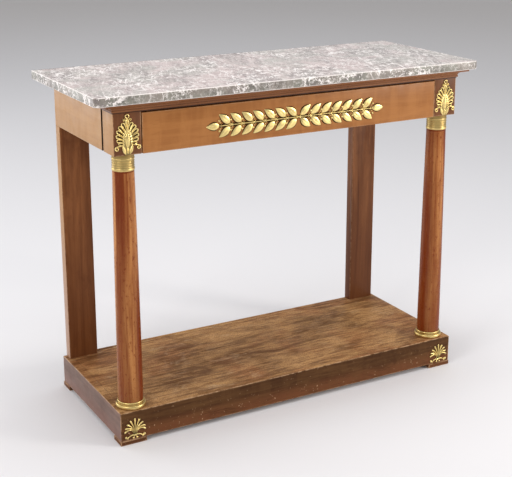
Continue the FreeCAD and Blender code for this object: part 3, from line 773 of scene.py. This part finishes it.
def bead(z0, z1, radius, swell):
    """The profile of a rounded band, dark at its two quirks."""
    turns = [pi * index / BEAD_STEPS for index in range(BEAD_STEPS + 1)]
    middle = (z0 + z1) / 2
    half = (z1 - z0) / 2
    waves = [(sin(t), cos(t)) for t in turns]
    return [(radius + swell * out, middle - half * up, QUIRK_TONE + out) for out, up in waves]


def plain(z0, z1, radius, tone):
    return [(radius, z0, tone), (radius, z1, tone)]


def shaft_profile(bottom, ring_top, cap_foot, top):
    """The shaft, thinner inside its two sleeves, with a line of painted shade below the capital."""
    lap = ring_top - SLEEVE_LAP
    points = plain(bottom, lap, COLUMN_FOOT - SLEEVE_WALL, tone=0) + [(COLUMN_FOOT - SHAFT_SHOULDER, lap, 0)]
    for index in range(SHAFT_STEPS):
        share = index / SHAFT_STEPS
        radius = COLUMN_FOOT + (COLUMN_HEAD - COLUMN_FOOT) * share + SHAFT_SWELL * sin(pi * share)
        points.append((radius - SHAFT_INSET, ring_top + (cap_foot - ring_top) * share, 0))
    points += [(COLUMN_HEAD - SHAFT_INSET, cap_foot - drop, tone) for drop, tone in PAINTED_SHADE_LINE]
    return points + plain(cap_foot + SLEEVE_LAP, top, COLUMN_HEAD - SLEEVE_WALL, tone=0)


def capital_profile(z0, z1):
    """The brass capital: a bead at its foot, three fine beads, a larger one and a plain top, painted dark as
    shade under the block.
    """
    wall = COLUMN_HEAD - 0.0003
    points = bead(z0, z0 + 0.0068, COLUMN_HEAD, swell=0.0008)
    points += plain(z0 + 0.0072, z0 + 0.0102, wall, tone=0.36)
    for step in range(3):
        low = z0 + 0.0105 + 0.0058 * step
        points += bead(low, low + 0.0016, COLUMN_HEAD - 0.0004, swell=0.0009)
        points += plain(low + 0.0020, low + 0.0054, wall, tone=0.36)
    points += bead(z1 - 0.0130, z1 - 0.0096, wall, swell=0.0011)
    points += plain(z1 - 0.0092, z1 - 0.0080, wall, tone=0.30)
    # Painted shade: the top of the capital is darkened under the block
    points += plain(z1 - 0.0060, z1, COLUMN_HEAD + 0.0002, tone=0.20)
    return points + plain(z1, z0, COLUMN_HEAD - SLEEVE_WALL, tone=0)


def ring_profile(z0, z1):
    """The brass ring at the column's foot: a large bead, a plain band and a small bead."""
    points = bead(z0, z0 + 0.0105, COLUMN_FOOT + 0.0030, swell=0.0030)
    points += plain(z0 + 0.0109, z0 + 0.0128, COLUMN_FOOT + 0.0014, tone=0.5)
    points += bead(z0 + 0.0132, z1, COLUMN_FOOT, swell=0.0018)
    return points + plain(z1, z0, COLUMN_FOOT - SLEEVE_WALL, tone=0)


def make_column(side, timber, brass):
    shaft = "column_shaft_" + side
    capital = "column_capital_" + side
    ring = "column_ring_" + side
    middle = centre_of(shaft)
    cap_lo, cap_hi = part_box(capital)
    ring_lo, ring_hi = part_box(ring)
    points = shaft_profile(ring_lo.z, ring_hi.z, cap_lo.z, cap_hi.z)
    lathe(shaft, points, middle.x, middle.y, timber, "mahogany", COLUMN_FIGURE_AND_SHEEN[side])
    lathe(capital, capital_profile(cap_lo.z, cap_hi.z), middle.x, middle.y, brass, "brass")
    lathe(ring, ring_profile(ring_lo.z, ring_hi.z), middle.x, middle.y, brass, "brass")


# Gilt mounts, drawn on an upright face with u to the right and v up

class Mount:
    """One gilt mount: forms are added on its face, then it becomes a single piece."""

    def __init__(self, x, y, z, hand=1):
        self.x, self.y, self.z = x, y, z
        self.hand = hand
        self.bm = bmesh.new()
        self.relief = self.bm.verts.layers.float.new("relief")

    def vert(self, u, v, depth, raised):
        made = self.bm.verts.new((self.x + self.hand * u, self.y - depth, self.z + v))
        made[self.relief] = raised
        return made

    def petal(self, spine, halves, crests, groove=0.0, breadth=0.16, stop=1.0, tones=None, rim=0.0):
        """A rounded form along a spine, on a flat back. A groove along its middle runs out at both ends.
        Low tones and the groove are painted shade, as if they lay deeper, and so is a rim, a share of the
        half width."""
        rows = []
        last = len(spine) - 1
        for index, (point, half, crest) in enumerate(zip(spine, halves, crests)):
            cut = groove * run_out(index / last, stop)
            tone = tones[index] if tones else 1.0
            way = heading(spine[max(index - 1, 0)], spine[min(index + 1, last)])
            row = []
            for column in range(PETAL_COLUMNS + 1):
                t = 2 * column / PETAL_COLUMNS - 1
                line = cut * exp(-(t / breadth) ** 4)
                height = max(0.0, sqrt(max(0.0, 1 - t * t)) - line)
                inside = 1.0 if abs(t) < 1 - rim else 0.0
                raised = inside * tone * (0.1 + 0.9 * height - 0.1 * line)
                row.append(self.vert(*aside(point, way, half * t), crest * height, raised))
            rows.append(row)
        self.skin(rows)

    def skin(self, rows):
        """Faces over rows of points, with a flat back and two ends."""
        for low, high in zip(rows, rows[1:]):
            for column in range(PETAL_COLUMNS):
                self.bm.faces.new((low[column], low[column + 1], high[column + 1], high[column]))
        self.bm.faces.new([row[0] for row in rows] + [row[-1] for row in reversed(rows)])
        self.bm.faces.new(rows[0])
        self.bm.faces.new(rows[-1])

    def rod(self, spine, half, crest, tone=1.0):
        count = len(spine)
        self.petal(spine, [half] * count, [crest] * count, tones=[tone] * count)

    def stalk(self, start, end, half, crest):
        self.rod([start, end], half, crest)

    def club(self, root, tip, bend, root_half, tip_half, crest, groove=0.0, breadth=0.16, deep=1.0):
        """A stalk that widens to a round end beyond its tip. Its root can be painted dark, as shade, as if it
        lay deep.
        """
        way = heading(root, tip)
        reach = dist(root, tip)
        far = (tip[0] + way[0] * tip_half, tip[1] + way[1] * tip_half)
        shoulder = reach / (reach + tip_half)
        rows = []
        for index in range(PETAL_STEPS + 1):
            share = 1 - (1 - index / PETAL_STEPS) ** CLUB_CROWDING
            if share < shoulder:
                half = root_half + (tip_half - root_half) * (share / shoulder) ** CLUB_FLARE
            else:
                half = tip_half * sqrt(max(0.0, 1 - ((share - shoulder) / (1 - shoulder)) ** 2))
            fullness = CLUB_ROOT_CREST + (1 - CLUB_ROOT_CREST) * min(1.0, half / tip_half)
            tone = deep + (1 - deep) * min(1.0, share / CLUB_DEEP_REACH)
            rows.append((share, half, crest * fullness * min(1.0, half / root_half), tone))
        shares, halves, crests, tones = zip(*rows)
        self.petal(bent(root, far, bend, shares), halves, crests, groove, breadth, CLUB_GROOVE_STOP, tones)

    def leaf(self, root, tip, width, crest, bend=0.0, groove=0.3, fullness=0.85, rim=0.0):
        shares = [index / PETAL_STEPS for index in range(PETAL_STEPS + 1)]
        swell = [sin(pi * share ** fullness) for share in shares]
        swell[0] = swell[-1] = 0.0
        halves = [width / 2 * s ** LEAF_SIDE_POWER for s in swell]
        crests = [crest * s ** LEAF_CREST_POWER for s in swell]
        self.petal(bent(root, tip, bend, shares), halves, crests, groove, rim=rim)

    def curl(self, centre, radius, start, sweep, half, crest):
        """A volute that winds in from a start angle to its eye."""
        count = PETAL_STEPS * 2
        spine, halves = [], []
        for index in range(count + 1):
            share = index / count
            turn = start + sweep * share
            reach = radius * (1 - CURL_WIND_IN * share)
            spine.append((centre[0] + reach * cos(turn), centre[1] + reach * sin(turn)))
            halves.append(half * (1 - CURL_TAPER * share))
        self.petal(spine, halves, [crest] * (count + 1))

    def ball(self, u, v, radius, depth):
        """A bead or berry, half sunk in the mount."""
        made = bmesh.ops.create_uvsphere(self.bm, u_segments=14, v_segments=8, radius=radius)
        for vert in made["verts"]:
            height = (radius - vert.co.y) / (2 * radius)
            vert[self.relief] = BALL_LOW_TONE + (1 - BALL_LOW_TONE) * height
            vert.co = (self.x + self.hand * u + vert.co.x, self.y - depth + vert.co.y, self.z + v + vert.co.z)

    def plate(self, outline, depth, tone):
        """A thin flat backing with an outline."""
        front = [self.vert(u, v, depth, tone) for u, v in outline]
        back = [self.vert(u, v, 0.0, 0.0) for u, v in outline]
        self.bm.faces.new(front)
        self.bm.faces.new(back[::-1])
        join_loops(self.bm, front, back)

    def made(self, node, material, body):
        bmesh.ops.remove_doubles(self.bm, verts=self.bm.verts, dist=MERGE_DISTANCE)
        piece = finished(node + "_chased", self.bm, material, smooth_angle=60.0)
        return dressed(piece, body, "gilt_bronze", node)


def mount_on(node):
    """An empty mount that stands on the middle of a node's foot, against its back."""
    lo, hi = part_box(node)
    return Mount(centre_of(node).x, hi.y, lo.z)


def run_out(share, stop):
    """1 along a form, down to 0 at its start and at a stop."""
    return max(0.0, min(1.0, share / GROOVE_START, (stop - share) / GROOVE_END))


def heading(start, end):
    length = dist(start, end) or 1.0
    return ((end[0] - start[0]) / length, (end[1] - start[1]) / length)


def aside(point, way, offset):
    return (point[0] - way[1] * offset, point[1] + way[0] * offset)


def bent(root, tip, bend, shares):
    way = heading(root, tip)
    spine = []
    for share in shares:
        straight = (root[0] + (tip[0] - root[0]) * share, root[1] + (tip[1] - root[1]) * share)
        spine.append(aside(straight, way, bend * 4 * share * (1 - share)))
    return spine


def make_anthemion(node, material):
    """The fan on a corner block: hollow lobes from a stippled teardrop, a bud finial, two volutes."""
    lo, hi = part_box(node)
    mount = mount_on(node)
    add_fan(mount)
    mount.leaf((0, 0.0160), (0, 0.0575), width=0.0150, crest=0.0046, groove=0.0, fullness=0.80)
    mount.plate(ANTHEMION_FOOT, depth=0.0016, tone=0.25)
    mount.leaf((0, 0.0008), (0, 0.0200), width=0.0066, crest=0.0036, rim=0.16)
    for hand in (1, -1):
        root, tip = (hand * 0.0046, 0.0004), (hand * 0.0122, 0.0250)
        mount.leaf(root, tip, width=0.0088, crest=0.0036, bend=hand * -0.0014, rim=0.10)
        add_volutes(mount, hand)
    add_finial(mount, hi.z - lo.z - FINIAL_DROP)
    add_stipple(mount)
    return mount.made(node, material, "carcase")


def add_fan(mount):
    """Pairs of hollow lobes, from the finial down to the volutes."""
    for index in range(FAN_LOBES):
        share = index / (FAN_LOBES - 1)
        turn = radians(FAN_FIRST_TURN + FAN_NEXT_TURN * index)
        tip = (FAN_SIDE * sin(turn), FAN_CENTRE + FAN_RISE * cos(turn))
        root = (0.0034 + 0.0056 * share ** 0.6, 0.0530 - 0.0285 * share)
        for hand in (1, -1):
            mount.club((hand * root[0], root[1]), (hand * tip[0], tip[1]), bend=hand * 0.0018,
                       root_half=0.0030, tip_half=0.0060, crest=0.0036, groove=1.0, breadth=0.46)


def add_volutes(mount, hand):
    """A large curl that hangs from the foot of the fan, and a small one beside the finial."""
    mount.club((hand * 0.0170, 0.0245), (hand * 0.0232, 0.0215), bend=0.0,
               root_half=0.0026, tip_half=0.0020, crest=0.0032)
    start = radians(115 if hand > 0 else 65)
    mount.curl((hand * 0.0270, 0.0160), 0.0056, start, hand * radians(-430), half=0.0022, crest=0.0034)
    start = radians(250 if hand > 0 else -70)
    mount.curl((hand * 0.0074, 0.0842), 0.0032, start, hand * radians(420), half=0.0014, crest=0.0028)


def add_finial(mount, top):
    """A stalk with a collar, a bud and a hoop at the top."""
    mount.stalk((0, 0.0540), (0, 0.0690), half=0.0022, crest=0.0028)
    mount.leaf((-0.0064, 0.0692), (0.0064, 0.0692), width=0.0042, crest=0.0038, groove=0.0, fullness=1.0)
    mount.leaf((0, 0.0690), (0, 0.0895), width=0.0116, crest=0.0042, groove=0.7, fullness=0.80)
    turns = [2 * pi * index / HOOP_STEPS for index in range(HOOP_STEPS + 1)]
    hoop = [(HOOP_RADIUS * cos(turn), top + HOOP_RADIUS * sin(turn)) for turn in turns]
    mount.rod(hoop, half=0.0018, crest=0.0030)


def add_stipple(mount):
    """Rows of three small beads on the teardrop, closer together towards its top."""
    for row in range(STIPPLE_ROWS):
        spread = STIPPLE_SPREAD * (1 - row / STIPPLE_TAPER)
        for column in (-1, 0, 1):
            up = STIPPLE_FIRST + STIPPLE_PITCH * row + 0.0012 * abs(column)
            depth = 0.0042 if column == 0 else 0.0035
            mount.ball(column * spread, up, STIPPLE_RADIUS, depth)


def make_palmette(node, material):
    """Nine arched fronds from a short trunk, two scrolled arms with buds, two drops."""
    mount = mount_on(node)
    trunk = FROND_ROOT - TRUNK_DROP
    for index in range(-FROND_PAIRS, FROND_PAIRS + 1):
        share = index / FROND_PAIRS
        angle = radians(FROND_FAN * share)
        across, rise = sin(angle), cos(angle)
        reach = 1 / hypot(across / FROND_SIDE, rise / FROND_RISE)
        start = (0.0030 * share, trunk + 0.0020 * rise)
        mount.club(start, (reach * across, FROND_ROOT + reach * rise), bend=FROND_BEND * share,
                   root_half=0.0007, tip_half=0.0027, crest=0.0034, deep=0.10)
    for hand in (1, -1):
        add_arm(mount, hand)
    mount.ball(0, trunk, radius=0.0034, depth=0.0)
    return mount.made(node, material, "carcase")


def add_arm(mount, hand):
    """A scrolled arm of the palmette with its bud, and a drop below it."""
    mount.club((hand * 0.0012, FROND_ROOT - 0.0068), (hand * 0.0205, 0.0046), bend=hand * 0.0030,
               root_half=0.0020, tip_half=0.0016, crest=0.0030)
    mount.club((hand * 0.0196, 0.0038), (hand * 0.0246, 0.0080), bend=0.0,
               root_half=0.0018, tip_half=0.0038, crest=0.0036)
    mount.stalk((hand * 0.0014, FROND_ROOT - 0.0072), (hand * 0.0046, 0.0048), half=0.0012, crest=0.0024)
    mount.ball(hand * 0.0048, 0.0040, radius=0.0027, depth=0.0007)


def make_laurel(node, material, hand):
    """A laurel branch: seven pairs of plump stalked leaves, a last leaf, berries between them."""
    lo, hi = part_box(node)
    mount = Mount(0.0, hi.y, (lo.z + hi.z) / 2, hand)
    stem_end = LEAF_FIRST + LEAF_PAIRS * LEAF_PITCH
    stem = [(STEM_START + (stem_end - STEM_START) * step / STEM_STEPS, 0.0) for step in range(STEM_STEPS + 1)]
    # A wide dark strip under the stem: painted shade between the leaf stalks
    mount.rod(stem, half=0.0050, crest=0.0004, tone=0.0)
    mount.rod(stem, half=0.0015, crest=0.0026)
    for index in range(LEAF_PAIRS + 1):
        root = LEAF_FIRST + LEAF_PITCH * index
        for side in (1, -1):
            if index < LEAF_PAIRS:
                add_laurel_leaf(mount, root, side)
            if index:
                berry = (root + 0.0012, side * 0.0128)
                mount.stalk((root - 0.0065, 0.0), berry, half=0.0006, crest=0.0014)
                mount.ball(*berry, radius=0.0029, depth=0.0010)
    tip = (hi.x - lo.x - 0.0002, 0)
    mount.leaf((stem_end, 0), tip, **LAUREL_LEAF)
    mount.ball(stem_end + 0.018, 0.0, radius=0.0014, depth=0.0026)
    return mount.made(node, material, "drawer")


def add_laurel_leaf(mount, root, side):
    foot = (root + 0.0042, side * 0.0038)
    mount.stalk((max(root - 0.0040, 0.0005), 0.0), foot, half=0.0011, crest=0.0022)
    start = (foot[0] - 0.0010, foot[1])
    tip = (root + 0.0328, side * 0.0283)
    mount.leaf(start, tip, bend=side * 0.0010, **LAUREL_LEAF)


# Cornice and frieze

def cornice_profile(height):
    """The moulding, as how far out and how high each point is: a step, a cove and a lip."""
    points = [(0.0, 0.0), (NECK_OUT, 0.0), (NECK_OUT, NECK_HEIGHT)]
    points += [(STEP_OUT, NECK_HEIGHT), (STEP_OUT, STEP_HEIGHT)]
    for index in range(COVE_STEPS + 1):
        turn = pi / 2 * index / COVE_STEPS
        points.append((COVE_FROM + COVE_OUT * (1 - cos(turn)), STEP_HEIGHT + COVE_RISE * sin(turn)))
    return points + [(LIP_OUT, LIP_FROM), (LIP_OUT, height), (0.0, height)]


def moulding(node, first, last, material):
    """A length of the moulding between the outlines of its two ends."""
    bm = bmesh.new()
    first, last = [[bm.verts.new(point) for point in outline] for outline in (first, last)]
    bm.faces.new(first)
    bm.faces.new(last[::-1])
    join_loops(bm, first, last)
    return boarded(node, bm, *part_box(node), material, "carcase", "mahogany")


def make_cornice(front_wood, side_wood):
    """The front length of the cornice, mitred to a short return round each corner block."""
    low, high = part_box("cornice_front")
    profile = cornice_profile(high.z - low.z)
    face_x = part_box("corner_block_right")[1].x

    def mitre(hand):
        return [(hand * (face_x + out), high.y - out, low.z + up) for out, up in profile]

    moulding("cornice_front", mitre(-1), mitre(1), front_wood)
    for side, hand in HANDS.items():
        node = "cornice_return_" + side
        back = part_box(node)[1].y
        moulding(node, mitre(hand), [(x, back, z) for x, _, z in mitre(hand)], side_wood)


def make_frieze_corner(side, front_wood, side_wood, quirk_shade):
    """A corner block and the apron behind it, with painted shade in the quirk between them."""
    quirk_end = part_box("corner_block_" + side)[1].y + QUIRK_DEPTH
    block = board("corner_block_" + side, front_wood)
    # The block's sides take the apron's lighter wood: painted light of a lit side
    refaced(block, side_wood, lambda face: abs(face.normal.x) > FACES_MAINLY)
    # Painted shade on the block's back face and the apron's end, inside the quirk
    refaced(block, quirk_shade, lambda face: face.normal.y > FACES_NEARLY)
    apron = eased("side_apron_" + side, side_wood)
    refaced(apron, quirk_shade, lambda face: face.center.y < quirk_end or face.normal.y < -FACES_NEARLY)


def make_pilaster(side, timber, side_wood):
    outward = HANDS[side]
    pilaster = eased("pilaster_" + side, timber)
    # Painted sheen: the outer side takes the lighter material
    refaced(pilaster, side_wood, lambda face: face.normal.x * outward > FACES_NEARLY)


# The table

def paint(material, *nodes):
    """Gives CAD nodes that keep their shape a material."""
    for node in nodes:
        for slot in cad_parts[node].material_slots:
            slot.material = material


def both(name):
    return [name + "_" + side for side in HANDS]


def build_end(side, looks, plinth):
    make_frieze_corner(side, looks["block_mahogany"], looks["apron_and_lit_side_mahogany"], looks["quirk_painted_shade"])
    make_pilaster(side, looks["pilaster_mahogany"], looks["pilaster_side_painted_sheen"])
    eased("plinth_side_" + side, looks["plinth_side_painted_sheen"], top=looks["platform_mahogany"], whole=plinth)
    for foot in ("foot_front_", "foot_rear_"):
        eased(foot + side, looks["plinth_mahogany_front"], FOOT_EASE)
    make_column(side, looks["column_mahogany"], looks["brass"])
    make_anthemion("anthemion_" + side, looks["gilt_bronze"])
    make_palmette("palmette_" + side, looks["gilt_bronze"])
    make_laurel("laurel_branch_" + side, looks["gilt_bronze"], HANDS[side])


def paint_inside(looks):
    """Plain oak for the pieces inside, with the grain along each one."""
    rails = ("front_top_rail", "drawer_bearer", "back_rail", "drawer_back", "drawer_bottom")
    deep = both("drawer_runner") + both("drawer_guide") + both("drawer_kicker") + both("drawer_side")
    paint(looks["oak_long"], *rails)
    paint(looks["oak_deep"], "platform_bearer", *deep)
    paint(looks["oak_upright"], *both("plinth_block_front"), *both("plinth_block_rear"))


def build_table():
    stone = marble()
    looks = {name: wood(name, **settings) for name, settings in WOODS.items()}
    looks.update({name: metal(name, **settings) for name, settings in METALS.items()})
    plinth = whole_box("plinth_front", "plinth_back", *both("plinth_side"))
    make_slab("marble_top", stone)
    make_cornice(looks["cornice_mahogany_front"], looks["cornice_mahogany_side"])
    eased("drawer_front", looks["drawer_mahogany"], DRAWER_EASE, "drawer", "figured_mahogany")
    for node in ("plinth_front", "plinth_back"):
        eased(node, looks["plinth_mahogany_front"], top=looks["platform_mahogany"], whole=plinth)
    board("platform_panel", looks["platform_mahogany"], radius=0.0, whole=plinth)
    for side in HANDS:
        build_end(side, looks, plinth)
    paint_inside(looks)


# Stage

def area_light(name, place, size, watts, color):
    data = bpy.data.lights.new(name, "AREA")
    data.shape = "SQUARE"
    data.size, data.energy, data.color = size, watts, color
    lamp = bpy.data.objects.new(name, data)
    lamp.location = place
    lamp.rotation_euler = (Vector(LIGHTS_AIM) - Vector(place)).to_track_quat("-Z", "Y").to_euler()
    bpy.context.collection.objects.link(lamp)


def build_stage():
    scene = bpy.context.scene
    scene.view_settings.view_transform = "Standard"
    bm = bmesh.new()
    bmesh.ops.create_grid(bm, x_segments=1, y_segments=1, size=30.0)
    finished("floor", bm, floor_material())
    world = bpy.data.worlds.new("studio")
    world.use_nodes = True
    sky = world.node_tree.nodes["Background"]
    sky.inputs["Color"].default_value = SKY_COLOR
    sky.inputs["Strength"].default_value = SKY_STRENGTH
    scene.world = world
    for light in LIGHTS:
        area_light(*light)


def build_camera():
    data = bpy.data.cameras.new("camera")
    data.lens = CAMERA_LENS
    data.sensor_width = CAMERA_SENSOR
    data.shift_x = CAMERA_SHIFT_X
    data.shift_y = CAMERA_SHIFT_Y
    camera = bpy.data.objects.new("camera", data)
    turn = radians(CAMERA_AZIMUTH)
    tilt = radians(CAMERA_ELEVATION)
    back = Vector((sin(turn) * cos(tilt), -cos(turn) * cos(tilt), sin(tilt)))
    camera.location = Vector((0, 0, CAMERA_TARGET_HEIGHT)) + back * CAMERA_DISTANCE
    camera.rotation_euler = (-back).to_track_quat("-Z", "Y").to_euler()
    bpy.context.collection.objects.link(camera)
    bpy.context.scene.camera = camera


build_table()
build_stage()
build_camera()
